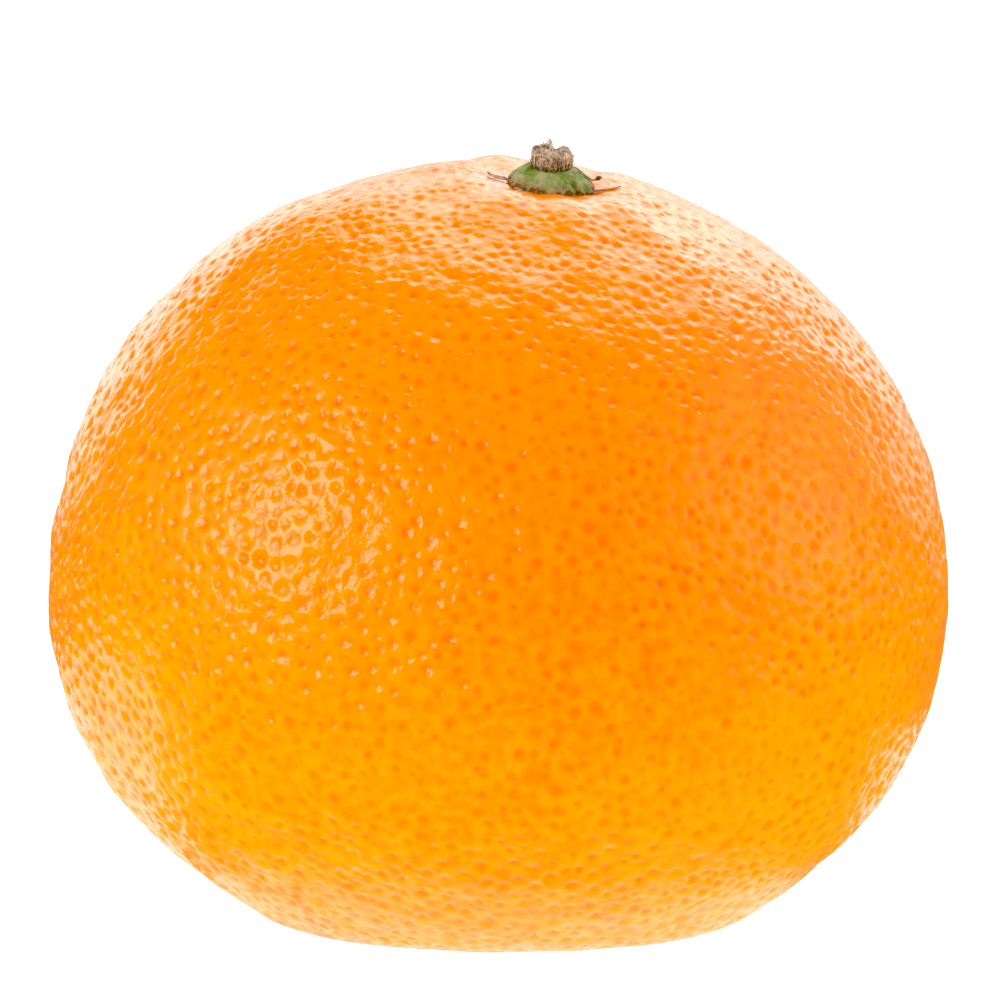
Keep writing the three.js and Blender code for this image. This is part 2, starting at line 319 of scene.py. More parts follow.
@dataclass
class FruitForm:
    """The mean surface of the fruit: two super-ellipse halves with swellings, leaned, with a flat spot.

    Attributes:
        box: Lowest and highest corner of the fruit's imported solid.
        half_width: Half the width at the widest level, before the swellings.
        upper: Height from the widest level to the stalk end, as a share of half_width.
        lower: Depth from the widest level to the far end, as a share of half_width.
        upper_power: Exponent of the upper half, where 2 is an ellipse.
        lower_power: Exponent of the lower half.
        lean_right: Lean of the stalk end towards +X, in degrees.
        lean_front: Lean of the stalk end towards -Y, in degrees.
        flat_depth: Distance from the middle down to the flat spot, as a share of half_width.
        flat_softness: Height over which the rind turns into the flat spot.
        basin_radius: Radius of the basin round the calyx.
        basin_depth: Depth of the basin.
        shoulder_radius: Radius of the low ring round the basin.
        shoulder_width: Half-width of that ring.
        shoulder_height: Height of that ring.
        furrows: Number of furrows that run out from the calyx.
        furrow_depth: Depth of a furrow.
        furrow_reach: Distance from the fruit's axis to which the furrows run.
        scar_radius: Radius of the scar at the far end.
        scar_depth: Depth of the scar.
        shift: Move from the fruit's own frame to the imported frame.
    """

    box: tuple[Vector, Vector]
    half_width: float = 31.7 * MM
    upper: float = 0.936
    lower: float = 0.868
    upper_power: float = 1.97
    lower_power: float = 1.94
    lean_right: float = 6.4
    lean_front: float = 12.2
    flat_depth: float = 0.772
    flat_softness: float = 1.5 * MM
    basin_radius: float = 4.3 * MM
    basin_depth: float = 0.9 * MM
    shoulder_radius: float = 6.2 * MM
    shoulder_width: float = 2.4 * MM
    shoulder_height: float = 0.35 * MM
    furrows: int = 9
    furrow_depth: float = 0.15 * MM
    furrow_reach: float = 13 * MM
    scar_radius: float = 1.7 * MM
    scar_depth: float = 0.55 * MM
    shift: Array = field(init=False)

    def __post_init__(self) -> None:
        """Moves the form so that its outline, seen from above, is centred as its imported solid's is."""
        self.shift = np.array([0, 0, self.flat_depth * self.half_width])
        points = self.surface(spiral(20000, start=0.5))
        low, high = self.box
        for axis in range(2):
            middle = (points[:, axis].min() + points[:, axis].max()) / 2
            self.shift[axis] = (low[axis] + high[axis]) / 2 - middle

    @property
    def lean(self) -> Array:
        """The turn from the fruit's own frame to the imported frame, as a 3 by 3 array."""
        front = Matrix.Rotation(math.radians(self.lean_front), 3, "X")
        return np.array(front @ Matrix.Rotation(math.radians(self.lean_right), 3, "Y"))

    @property
    def middle(self) -> Vector:
        """The middle of the fruit's widest level."""
        return Vector(self.shift)

    @property
    def far_end(self) -> Array:
        """The place of the scar, at the fruit's own axis on the flat spot."""
        below = self.lean @ np.array([0, 0, -self.lower * self.half_width]) + self.shift
        return np.array([below[0], below[1], 0])

    @property
    def crown_frame(self) -> Matrix:
        """The frame of the calyx, on the top of the mean surface at the fruit's own axis."""
        top = self.lean @ np.array([0, 0, self.upper * self.half_width]) + self.shift
        return Matrix.Translation(Vector(top)) @ Matrix(self.lean.tolist()).to_4x4()

    def radius(self, directions: Array) -> Array:
        """Distance from the middle to the mean surface, for each unit vector of the fruit's own frame."""
        up = directions[:, 2] > 0
        height = np.where(up, self.upper, self.lower)
        power = np.where(up, self.upper_power, self.lower_power)
        across = np.hypot(directions[:, 0], directions[:, 1])
        radius = (across**power + (np.abs(directions[:, 2]) / height) ** power) ** (-1 / power)
        for swelling in SWELLINGS:
            radius *= 1 + swelling.at(directions)
        return radius * self.half_width

    def crown(self, from_axis: Array, azimuth: Array) -> Array:
        """Height of the basin, shoulder and furrows round the calyx above the mean surface."""
        basin = -self.basin_depth * bell(from_axis, self.basin_radius)
        shoulder = self.shoulder_height * bell(from_axis - self.shoulder_radius, self.shoulder_width)
        reach = bell(from_axis - self.shoulder_radius, self.furrow_reach - self.shoulder_radius)
        reach = reach * (1 - bell(from_axis, self.basin_radius))
        return basin + shoulder + self.furrow_depth * np.cos(self.furrows * azimuth) * reach

    def rind_height(self, from_axis: Array, azimuth: Array) -> Array:
        """Height of the rind in the calyx's frame."""
        rounding = from_axis**2 * self.upper / (2 * self.half_width)
        return self.crown(from_axis, azimuth) - rounding

    def swells(self, points: Array) -> Array:
        """The rind's own unevenness, from broad swells down to ripples wider than a pit."""
        broad = seeded_waves(points, 15 * MM, 0.1 * MM, seed=3)
        middling = seeded_waves(points, 5 * MM, 0.045 * MM, seed=4)
        return broad + middling + seeded_waves(points, 2.6 * MM, 0.018 * MM, seed=5)

    def surface(self, directions: Array) -> Array:
        """The settled surface without its pits.

        Args:
            directions: An (n, 3) array of unit vectors in the fruit's own frame.

        Returns:
            The place of the surface in each direction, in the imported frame.
        """
        points = directions * self.radius(directions)[:, None]
        from_axis = np.hypot(points[:, 0], points[:, 1])
        azimuth = np.arctan2(points[:, 1], points[:, 0])
        relief = np.where(directions[:, 2] > 0, self.crown(from_axis, azimuth), 0) + self.swells(points)
        points = (points + directions * relief[:, None]) @ self.lean.T
        return self.settled(points) + self.shift

    def settled(self, points: Array) -> Array:
        """Flattens points against the floor and presses in the scar of the far end."""
        floor, soft = -self.flat_depth * self.half_width, self.flat_softness
        over = points[:, 2] - floor + soft
        rounded = floor + np.clip(over, 0, None) ** 2 / (4 * soft)
        height = np.where(over >= 2 * soft, points[:, 2], rounded)
        far_end = self.far_end - self.shift
        from_scar = np.hypot(points[:, 0] - far_end[0], points[:, 1] - far_end[1])
        height += np.where(height < 0, self.scar_depth * bell(from_scar, self.scar_radius), 0)
        return np.stack([points[:, 0], points[:, 1], height], axis=1)


# ---- The rind ----

@dataclass
class Rind:
    """The rind: one closed net of facets, with a round pit over each oil gland.

    Attributes:
        form: The surface that the pits are in.
        pits: Number of oil glands.
        crowding: Above 1, pits stand closer together towards the stalk end.
        shake: Share of the spacing by which a pit leaves its place on a golden-angle spiral.
        depth: Depth of a pit of mean width.
        widths: Least and greatest radius of a pit, as shares of the room that it has.
        steepnesses: Least and greatest steepness of a pit's wall.
        tight: Shares of the mean room between which a pit grows to its full depth.
        slope_place: Distance of a slope corner from its gland, as a share of the pit's radius.
        slope_limit: The most that this is, as a share of the way to the ridge.
        smooth_top: Distance from the fruit's axis over which the pits fade in, round the calyx.
        calm_ends: Share by which a pit's wall is less steep at the fruit's two ends.
        tints: Least and greatest tint of a live gland, before its power.
        tint_power: Above 1, more glands are pale.
        seed: Chooses the pattern.
    """

    form: FruitForm
    pits: int = 8000
    crowding: float = 1.12
    shake: float = 1.05
    depth: float = 0.15 * MM
    widths: tuple[float, float] = (0.85, 1.4)
    steepnesses: tuple[float, float] = (0.35, 1.45)
    tight: Edge = (0.4, 0.7)
    slope_place: float = 0.55
    slope_limit: float = 0.65
    smooth_top: float = 3.4 * MM
    calm_ends: float = 0.5
    tints: tuple[float, float] = (0.25, 1.0)
    tint_power: float = 1.3
    seed: int = 7

    def spread_pits(self) -> Array:
        """Directions of the glands, on a golden-angle spiral shaken by a seeded draw."""
        random = np.random.default_rng(self.seed)
        spacing = math.sqrt(4 * math.pi / self.pits)
        shake = self.shake * spacing * random.uniform(-0.5, 0.5, size=(self.pits, 3))
        return unit(spiral(self.pits, self.crowding) + shake)

    def wrap(self, directions: Array) -> bpy.types.Object:
        """Wraps directions, as points of a unit ball, in a closed skin of triangles."""
        mesh = bpy.data.meshes.new("rind")
        mesh.from_pydata(directions.tolist(), [], [])
        piece = bpy.data.objects.new("rind", mesh)
        bpy.context.collection.objects.link(piece)
        pick(piece)
        with editing():
            bpy.ops.mesh.convex_hull(join_triangles=False)
        return piece

    def relaxed(self, directions: Array) -> Array:
        """Evens out the glands' spacing a little, by a step towards the middle of their neighbours."""
        piece = self.wrap(directions)
        with editing():
            bpy.ops.mesh.vertices_smooth(factor=0.5, repeat=1)
        moved = unit(corners_of(piece.data))
        bpy.data.objects.remove(piece)
        return moved

    def split_edges(self, piece: bpy.types.Object, chosen: npt.NDArray[np.bool_]) -> None:
        """Puts a corner in the middle of each chosen edge and splits the triangles beside it."""
        with editing("DESELECT"):
            bpy.ops.mesh.select_mode(type="EDGE")
        piece.data.edges.foreach_set("select", chosen)
        with editing(None):
            bpy.ops.mesh.subdivide(number_cuts=1)
            bpy.ops.mesh.select_all(action="SELECT")
            bpy.ops.mesh.quads_convert_to_tris(quad_method="BEAUTY")

    def net(self) -> tuple[bpy.types.Object, int, Array]:
        """Makes the net: round each gland, six or so corners on its slope and a ring of ridge corners.

        Returns:
            The piece on a unit ball, the number of glands, and the gland and the ridge corner at the ends of
            each slope corner's edge. The slope corners come last in the mesh, in that order.
        """
        piece = self.wrap(self.relaxed(self.spread_pits()))
        glands = len(piece.data.vertices)
        junctions_end = glands + len(piece.data.polygons)
        with editing():
            bpy.ops.mesh.poke(center_mode="MEDIAN")
        self.split_edges(piece, (edges_of(piece.data) < glands).all(axis=1))
        edges = np.sort(edges_of(piece.data), axis=1)
        uphill = (edges[:, 0] < glands) & (edges[:, 1] >= glands) & (edges[:, 1] < junctions_end)
        self.split_edges(piece, uphill)
        return piece, glands, edges[uphill]

    def build(self) -> bpy.types.Object:
        """Builds the rind at its size and place, with the attributes that its finish reads.

        Returns:
            The piece. Its points hold "rest", their place before the pits were pressed in, "soft_normal",
            the normal there, and "to_ridge", the share of the way from their gland to its ridge. Its faces
            hold "gland", the middle of their gland, and "pit", that pit's radius, steepness and tint.
        """
        piece, glands, uphill = self.net()
        mesh = piece.data
        directions = unit(corners_of(mesh))
        own, far = uphill.T
        slope = np.arange(len(directions) - len(uphill), len(directions))
        edges = np.sort(edges_of(mesh), axis=1)
        to_saddle = (edges[:, 0] < glands) & (edges[:, 1] > far.max()) & (edges[:, 1] < slope[0])
        crest, saddle = edges[to_saddle].T

        random = np.random.default_rng(self.seed + 1)
        rest = self.form.surface(directions)
        room = np.full(glands, np.inf)
        np.minimum.at(room, crest, np.linalg.norm(rest[crest] - rest[saddle], axis=1))
        radius = room * random.uniform(*self.widths, size=glands)
        steepness = random.uniform(*self.steepnesses, size=glands)
        least, full = self.tight
        depth = self.depth * (radius / radius.mean()) * steepness
        depth *= np.clip((room / room.mean() - least) / (full - least), 0, 1)
        from_axis = np.hypot(directions[:glands, 0], directions[:glands, 1]) * self.form.half_width
        fade = np.where(directions[:glands, 2] > 0, 1 - bell(from_axis, self.smooth_top), 1)
        depth *= fade
        outwards = unit(rest[:glands] - self.form.shift)
        tint = random.uniform(*self.tints, size=glands) ** self.tint_power
        for patch in SPECKLED:
            tint[random.uniform(size=glands) < patch.at(outwards)] = DEAD_TINT

        to_far = np.linalg.norm(rest[own] - rest[far], axis=1)
        share = np.minimum(self.slope_place * radius[own] / to_far, self.slope_limit)
        directions[slope] = unit(directions[own] + (directions[far] - directions[own]) * share[:, None])
        rest = self.form.surface(directions)
        place_corners(mesh, rest)
        mesh.shade_smooth()
        normals = np.empty(len(mesh.vertices) * 3)
        mesh.vertex_normals.foreach_get("vector", normals)
        normals = normals.reshape(-1, 3)

        pressed = np.zeros(len(directions))
        pressed[:glands] = depth
        corner = np.concatenate([slope, saddle, far])
        gland = np.concatenate([own, crest, own])
        t = np.clip(np.linalg.norm(rest[corner] - rest[gland], axis=1) / radius[gland], 0, 1)
        np.maximum.at(pressed, corner, depth[gland] * (0.5 + 0.5 * np.cos(math.pi * t)))
        place_corners(mesh, rest - normals * pressed[:, None])

        gland_of = np.full(len(directions), -1)
        gland_of[:glands] = np.arange(glands)
        gland_of[slope] = own
        loops = np.empty(len(mesh.loops), dtype=np.int32)
        mesh.loops.foreach_get("vertex_index", loops)
        gland_of_face = gland_of[loops.reshape(-1, 3)].max(axis=1)
        to_ridge = np.ones(len(directions))
        to_ridge[:glands] = 0
        to_ridge[slope] = share
        steepness *= fade * (1 - self.calm_ends * outwards[:, 2] ** 2)
        store_numbers(mesh, "to_ridge", to_ridge)
        self.store(mesh, "soft_normal", "POINT", normals)
        self.store(mesh, "rest", "POINT", rest)
        self.store(mesh, "gland", "FACE", rest[gland_of_face])
        self.store(mesh, "pit", "FACE", np.stack([radius, steepness, tint], axis=1)[gland_of_face])
        return piece

    @staticmethod
    def store(mesh: bpy.types.Mesh, name: str, domain: str, values: Array) -> None:
        """Keeps an (n, 3) array on a mesh as a vector attribute."""
        layer = mesh.attributes.new(name, "FLOAT_VECTOR", domain)
        layer.data.foreach_set("vector", values.astype(np.float32).ravel())


# ---- The stalk end ----

@dataclass
class Calyx:
    """The green button of five grown-together sepals, with a ragged dried rim and dried tips.

    All heights are in its own frame, above the mean rind at the fruit's axis.

    Attributes:
        form: The fruit that it grows on.
        radius: Radius of a lobe's end.
        lobes: Number of sepals.
        lobe_turn: Azimuth of a valley between two lobes, in degrees.
        valley: Depth of the valleys round the rim, as a share of radius.
        seat_radius: Radius of the level top that carries the stub.
        seat: Height of that top.
        rim: Height of the rim's upper edge.
        thickness: Thickness of the rim.
        short_side: Share by which the sepal on the left, at -X, is shorter.
        crease_depth: Depth of the creases between the lobes, at the rim.
        ribs: Number of ribs that run down the dome.
        rib_height: Height of a rib.
        flakes: Number of dry flakes round the rim.
        seed: Chooses the raggedness.
    """

    form: FruitForm
    radius: float = 3.2 * MM
    lobes: int = 5
    lobe_turn: float = -50.0
    valley: float = 0.1
    seat_radius: float = 1.45 * MM
    seat: float = 0.9 * MM
    rim: float = -0.24 * MM
    thickness: float = 0.3 * MM
    short_side: float = 0.13
    crease_depth: float = 0.16 * MM
    ribs: int = 23
    rib_height: float = 0.08 * MM
    flakes: int = 60
    seed: int = 31

    def edge(self, azimuth: Array) -> Array:
        """Radius of the ragged rim at each azimuth."""
        phase = (azimuth - math.radians(self.lobe_turn)) * self.lobes / 2
        lobed = 1 - self.valley * (1 - np.abs(np.sin(phase)) ** 0.6)
        round_rim = around(1, azimuth, 0)
        ragged = seeded_waves(round_rim, 0.75, 0.025, self.seed)
        ragged += seeded_waves(round_rim, 0.2, 0.03, self.seed + 1)
        left = math.pi - np.abs(azimuth)
        return self.radius * (lobed + ragged - self.short_side * bell(left, math.radians(42)))

    def button(self) -> bpy.types.Object:
        """Shapes a ball into the button: its lower half is the underside and its upper half the dome."""
        piece = ball("calyx_button", 160, 64)
        way, azimuth = polar(corners_of(piece.data))
        upper = way >= 0.5
        share = np.where(upper, np.sin(math.pi * way), np.sin(math.pi * way) ** 0.8)
        from_axis = share * self.edge(azimuth)
        slope = np.clip((from_axis - self.seat_radius) / (self.edge(azimuth) - self.seat_radius), 0, 1)
        phase = (azimuth - math.radians(self.lobe_turn)) * self.lobes / 2
        crease = (1 - np.abs(np.sin(phase))) ** 3
        dome = self.seat + (self.rim - self.seat) * slope**2 - self.crease_depth * crease * slope
        across = around(from_axis, azimuth, 0)
        ribs = np.cos(self.ribs * azimuth + 2 * np.sin(3 * azimuth)) * slope * (1 - slope)
        dome += self.rib_height * ribs + seeded_waves(across, 1.1 * MM, 0.05 * MM, self.seed + 2)
        dome += seeded_waves(across, 0.42 * MM, 0.028 * MM, self.seed + 4)
        droop = self.form.rind_height(from_axis, azimuth)
        curl = seeded_waves(across, 1.6 * MM, 0.07 * MM, self.seed + 3) * slope
        under = np.minimum(droop, self.rim - self.thickness * slope) - 0.05 * MM
        height = np.where(upper, np.maximum(dome + curl, droop + 0.1 * MM), under + curl)
        shape(piece, around(from_axis, azimuth, height), self.form.crown_frame)
        store_numbers(piece.data, "rim", np.where(upper, slope, 1))
        return piece

    def on_rind(self, radius: float, azimuth: float, lift: float) -> Place:
        """A point at a height above the rind, at a radius and an azimuth in degrees."""
        turn = math.radians(azimuth)
        height = self.form.rind_height(np.array([radius]), np.array([turn]))[0]
        return radius * math.cos(turn), radius * math.sin(turn), float(height) + lift

    def path(self, *points: Place) -> tuple[Place, ...]:
        """Points given by radius in mm, azimuth in degrees and height above the rind in mm."""
        return tuple(self.on_rind(radius * MM, azimuth, lift * MM) for radius, azimuth, lift in points)

    def flake(self, index: int, random: np.random.Generator) -> bpy.types.Object:
        """One dry, lifting flake of the rim."""
        azimuth = 360 * (index + random.uniform(-0.5, 0.5)) / self.flakes - 180
        edge = float(self.edge(np.array([math.radians(azimuth)]))[0])
        reach = random.uniform(0.95, 1.07) * edge
        slew = random.uniform(-9, 9)
        knots = (
            self.on_rind(0.88 * edge, azimuth - slew, random.uniform(0.25, 0.5) * MM),
            self.on_rind(0.94 * edge, azimuth, random.uniform(0.22, 0.5) * MM),
            self.on_rind(reach, azimuth + slew, random.uniform(0.0, 0.24) * MM),
        )
        wide = random.uniform(0.08, 0.18) * MM
        tone = random.uniform(0.75, 1.05)
        radii = (0.4 * wide, wide, 0.7 * wide, 0.15 * wide)
        strand = Strand(knots, radii, 0.45, (tone - 0.1, tone + 0.1), "rim")
        return strand.build(f"flake_{index}", self.form.crown_frame, segments=8, rings=10)

    def tips(self) -> list[bpy.types.Object]:
        """The dried tips: two curled slivers on the left, and two threads on the right, one with a knob."""
        # The slivers' low tones darken them to near black: a dried sepal's brown edge, with painted shadow
        # along the calyx's rim.
        left = Strand(
            self.path((2.7, 196, 0.45), (3.6, 184, 0.5), (4.0, 176, 0.2), (4.4, 171, 0.35)),
            in_mm(0.05, 0.36, 0.3, 0.2, 0.1), 0.3, (0.3, 0.9, 0.7, 0.1),
        )
        front = Strand(
            self.path((2.7, 206, 0.3), (3.3, 225, 0.22), (3.2, 245, 0.16)),
            in_mm(0.05, 0.2, 0.16, 0.1), 0.45, (0.1, 0.5, 0.1),
        )
        thread = Strand(
            (in_mm(1.5, 0.5, 1.0), *self.path((2.6, 14, 1.35), (2.9, 12, 0.5), (3.5, 10, 0.85))),
            in_mm(0.09, 0.07, 0.06, 0.06, 0.07), 1.0, (0.9, 1.6, 1.6, 0.8),
        )
        knob = Strand(
            self.path((3.3, 11, 0.75), (3.45, 10, 0.95), (3.7, 8, 0.95)),
            in_mm(0.05, 0.17, 0.13, 0.04), 1.0, (0.4, 0.2),
        )
        whisker = Strand(
            self.path((2.9, -12, 0.25), (3.8, -8, 0.35), (4.3, -2, 0.1), (5.1, 2, 0.3)),
            in_mm(0.1, 0.09, 0.06, 0.07, 0.05), 1.0, (0.8, 1.2, 1.2, 0.4),
        )
        strands = {"sliver": left, "front_sliver": front, "thread": thread, "knob": knob}
        strands["whisker"] = whisker
        return [strand.build(name, self.form.crown_frame) for name, strand in strands.items()]

    def build(self) -> tuple[bpy.types.Object, bpy.types.Object]:
        """Builds the green button with its flakes and, as a second piece, its dried tips."""
        random = np.random.default_rng(self.seed)
        flakes = [self.flake(index, random) for index in range(self.flakes)]
        return join([self.button(), *flakes], "calyx_button"), join(self.tips(), "dried_tips")


@dataclass(frozen=True)
class Horn:
    """A place where the stub's torn rim stands higher.

    Attributes:
        azimuth: Its direction, in degrees from +X towards +Y.
        width: Its half-width, in degrees.
        height: How far it stands above the rim.
    """

    azimuth: float
    width: float
    height: float


HORNS = (
    Horn(99, 9, 0.62 * MM),
    Horn(126, 24, 0.34 * MM),
    Horn(52, 20, 0.36 * MM),
    Horn(-35, 26, 0.1 * MM),
)


@dataclass
class Stub:
    """The torn stub of the stalk: a fluted cup of dry fibres, with painted shade at its foot and a painted
    highlight on the fibres of its lit side.

    Attributes:
        form: The fruit that carries it.
        foot: Height of its foot in the calyx's frame.
        rim: Height of its torn rim.
        waist_radius: Radius at its narrowest.
        fibres: Number of torn fibres that stand up round the rim.
        crumbs: Number of crumbs of pith and bark on its wall and rim.
        seed: Chooses the fibres.
    """

    form: FruitForm
    foot: float = 0.74 * MM
    rim: float = 1.88 * MM
    waist_radius: float = 1.33 * MM
    fibres: int = 120
    crumbs: int = 30
    seed: int = 5

    def rim_height(self, azimuth: Array | float) -> Array | float:
        """Height of the torn rim at each azimuth."""
        height = self.rim
        for horn in HORNS:
            turn = azimuth - math.radians(horn.azimuth)
            turn = np.arctan2(np.sin(turn), np.cos(turn))
            height = height + horn.height * bell(turn, math.radians(horn.width))
        return height

    def cup(self) -> bpy.types.Object:
        """Shapes a ball into the cup: up its wall, over the rim and down into the hollow."""
        piece = ball("stub_cup", 128, 56)
        way, azimuth = polar(corners_of(piece.data))
        steps = [0.0, 0.12, 0.2, 0.62, 0.7, 0.78, 1.0]
        flare = [0.0, 0.97, 1.04, 1.12, 1.08, 0.7, 0.0]
        climb = [0.0, 0.0, 0.06, 0.94, 1.0, 0.9, 0.84]
        radius = np.interp(way, steps, flare) * self.waist_radius
        rise = np.interp(way, steps, climb)
        wall, crumble = around(1, azimuth, 0), around(1, azimuth, 3 * way)
        flutes = seeded_waves(wall, 0.55, 0.035, self.seed) + seeded_waves(wall, 0.17, 0.03, self.seed + 1)
        flutes += seeded_waves(crumble, 0.5, 0.015, self.seed + 3)
        flutes += seeded_waves(crumble, 0.2, 0.01, self.seed + 4)
        radius *= 1 + flutes * np.clip(way / 0.2, 0, 1)
        height = self.foot + rise * (self.rim_height(azimuth) - self.foot)
        torn = seeded_waves(around(radius, azimuth, height / 3), 0.5 * MM, 0.06 * MM, self.seed + 2)
        height += torn * np.clip(2 * rise - 0.6, 0, 1)
        shape(piece, around(radius, azimuth, height), self.form.crown_frame)
        return piece

    def fibre(self, index: int, random: np.random.Generator) -> bpy.types.Object:
        """One torn fibre, up the wall and a little past the rim."""
        azimuth = 2 * math.pi * (index + random.uniform(-0.4, 0.4)) / self.fibres - math.pi
        inner = random.uniform(0.35, 0.92) if index % 3 == 0 else 1.0
        top = self.rim_height(azimuth) + random.uniform(-0.3, 0.24) * MM
        low = self.foot + (random.uniform(0.0, 0.35) if inner == 1.0 else 0.6) * (top - self.foot)
        lean = random.uniform(-0.12, 0.12)
        knots = []
        for share, radius in ((0.0, 1.0), (0.5, 1.06), (1.0, random.uniform(1.02, 1.2))):
            turn = azimuth + lean * share
            out = inner * radius * self.waist_radius
            knots.append((out * math.cos(turn), out * math.sin(turn), low + share * (top - low)))
        thick = random.uniform(0.04, 0.085) * MM
        # A random tone for each fibre, raised on the stub's front-left side towards the left lamp: a painted
        # highlight.
        tone = random.uniform(-0.6, 0.8) + 0.7 * bell(azimuth - math.radians(-112), math.radians(35))
        radii = (0.5 * thick, thick, thick, 0.7 * thick, 0.2 * thick)
        strand = Strand(tuple(knots), radii, 1.0, (tone, tone), "bleach_and_highlight")
        return strand.build(f"fibre_{index}", self.form.crown_frame, segments=7, rings=10)

    def crumb(self, index: int, random: np.random.Generator) -> bpy.types.Object:
        """One crumb, stuck to the wall or on the rim."""
        azimuth = random.uniform(-math.pi, math.pi)
        top = self.rim_height(azimuth)
        on_rim = random.uniform() < 0.4
        out = self.waist_radius * (random.uniform(0.7, 1.12) if on_rim else random.uniform(1.0, 1.1))
        height = top + random.uniform(-0.16, 0.12) * MM if on_rim else random.uniform(self.foot, top)
        middle = np.array([out * math.cos(azimuth), out * math.sin(azimuth), height])
        along = unit(random.normal(size=(1, 3)) + [0, 0, 1.6])[0] * random.uniform(0.12, 0.28) * MM
        thick = random.uniform(0.03, 0.07) * MM
        knots = tuple(map(tuple, (middle - along, middle, middle + along)))
        radii = (0.5 * thick, thick, 0.9 * thick, 0.3 * thick)
        strand = Strand(knots, radii, 1.0, (-0.2, 0.4), "bleach_and_highlight")
        return strand.build(f"crumb_{index}", self.form.crown_frame, segments=6, rings=6)

    def build(self) -> bpy.types.Object:
        """Builds the cup, fibres and crumbs as one piece. Its "rise" is 0 at the foot and 1 at the rim."""
        random = np.random.default_rng(self.seed)
        parts = [self.cup()] + [self.fibre(index, random) for index in range(self.fibres)]
        parts += [self.crumb(index, random) for index in range(self.crumbs)]
        piece = join(parts, "stub")
        own = np.array(self.form.crown_frame.inverted())
        height = corners_of(piece.data) @ own[2, :3] + own[2, 3]
        store_numbers(piece.data, "rise", (height - self.foot) / (self.rim - self.foot))
        return piece


# ---- Finishes ----

class Desk:
    """Adds nodes to one node tree and joins them."""

    def __init__(self, tree: bpy.types.NodeTree) -> None:
        """Starts on a tree."""
        self.tree = tree

    def fill(self, node: bpy.types.Node, inputs: dict[str | int, object]) -> None:
        """Joins a socket to, or sets a value on, each named or numbered input of a node."""
        for name, value in inputs.items():
            if isinstance(value, Socket):
                self.tree.links.new(value, node.inputs[name])
            else:
                node.inputs[name].default_value = value

    def add(self, kind: str, inputs: dict | None = None, **settings: object) -> bpy.types.Node:
        """Adds one node.

        Args:
            kind: Its type, without the leading ShaderNode.
            inputs: A socket to join or a value to set, by the input's name or number.
            settings: Values of the node's own settings.

        Returns:
            The node.
        """
        node = self.tree.nodes.new("ShaderNode" + kind)
        for name, value in settings.items():
            setattr(node, name, value)
        self.fill(node, inputs or {})
        return node

    def place(self) -> Socket:
        """The place of a point in its mesh's own frame."""
        return self.add("TexCoord").outputs["Object"]

    def attribute(self, name: str, output: str = "Vector") -> Socket:
        """One of the mesh's attributes, as a vector or, by the output Fac, as a number."""
        return self.add("Attribute", attribute_name=name).outputs[output]

    def group(self, tree: bpy.types.NodeTree, inputs: dict[str, float]) -> Socket:
        """The first output of a node group."""
        return self.add("Group", inputs, node_tree=tree).outputs[0]

    def maths(self, operation: str, *values: float | Socket) -> Socket:
        """The result of a Math node."""
        return self.add("Math", dict(enumerate(values)), operation=operation).outputs[0]

    def times(self, first: Socket, second: float | Socket) -> Socket:
        """One number times another."""
        return self.maths("MULTIPLY", first, second)

    def frayed(self, value: Socket, noise: Socket, amount: float) -> Socket:
        """A number moved up and down by an amount of a noise from 0 to 1."""
        return self.maths("ADD", value, self.times(self.maths("SUBTRACT", noise, 0.5), amount))

    def ramp(self, value: Socket, low: float, high: float, start: float = 0.0, end: float = 1.0) -> Socket:
        """A smooth step from start, where value is low, to end, where it is high."""
        inputs = {"Value": value, "From Min": low, "From Max": high, "To Min": start, "To Max": end}
        return self.add("MapRange", inputs, interpolation_type="SMOOTHSTEP").outputs[0]

    def blend(self, share: float | Socket, first: float | Socket, second: float | Socket) -> Socket:
        """A number between two, at a share from 0 to 1."""
        return self.add("Mix", {0: share, 2: first, 3: second}, data_type="FLOAT").outputs[0]

    def between(self, share: Socket, first: Colour | Socket, second: Colour) -> Socket:
        """A colour between two, at a share from 0 to 1."""
        return self.add("Mix", {0: share, 6: first, 7: second}, data_type="RGBA").outputs[2]

    def tinted(self, colour: Socket, tint: Colour, mask: Socket, strength: float) -> Socket:
        """A colour with a tint over it, as strong as given where the mask is 1."""
        return self.between(self.times(mask, strength), colour, tint)

    def vector(self, operation: str, *values: Socket, **inputs: Socket) -> Socket:
        """The vector result of a Vector Math node."""
        return self.add("VectorMath", {**dict(enumerate(values)), **inputs}, operation=operation).outputs[0]

    def measure(self, operation: str, *values: Socket | Place) -> Socket:
        """The number that a Vector Math node gives."""
        return self.add("VectorMath", dict(enumerate(values)), operation=operation).outputs["Value"]

    def in_world(self, normal: Socket) -> Socket:
        """A normal of the mesh's own frame, turned to the world's."""
        settings = {"vector_type": "NORMAL", "convert_from": "OBJECT"}
        return self.add("VectorTransform", {0: normal}, **settings).outputs[0]

    def bump(self, height: Socket, **normal: Socket) -> Socket:
        """The normal that a height in metres gives, on the mesh's own normal or the one given as Normal."""
        return self.add("Bump", {"Strength": 1.0, "Distance": 1.0, "Height": height, **normal}).outputs[0]


def new_group(name: str, inputs: tuple[str, ...], output: str) -> tuple[
    Desk, bpy.types.NodeOutputs, bpy.types.Node
]:
    """Starts a shader node group that takes and gives plain numbers.

    Args:
        name: The group's name.
        inputs: Names of its inputs.
        output: Name of its one output.

    Returns:
        A desk on the group's tree, the sockets of its inputs, and its output node.
    """
    tree = bpy.data.node_groups.new(name, "ShaderNodeTree")
    for title in inputs:
        tree.interface.new_socket(title, in_out="INPUT", socket_type="NodeSocketFloat")
    tree.interface.new_socket(output, in_out="OUTPUT", socket_type="NodeSocketFloat")
    return Desk(tree), tree.nodes.new("NodeGroupInput").outputs, tree.nodes.new("NodeGroupOutput")


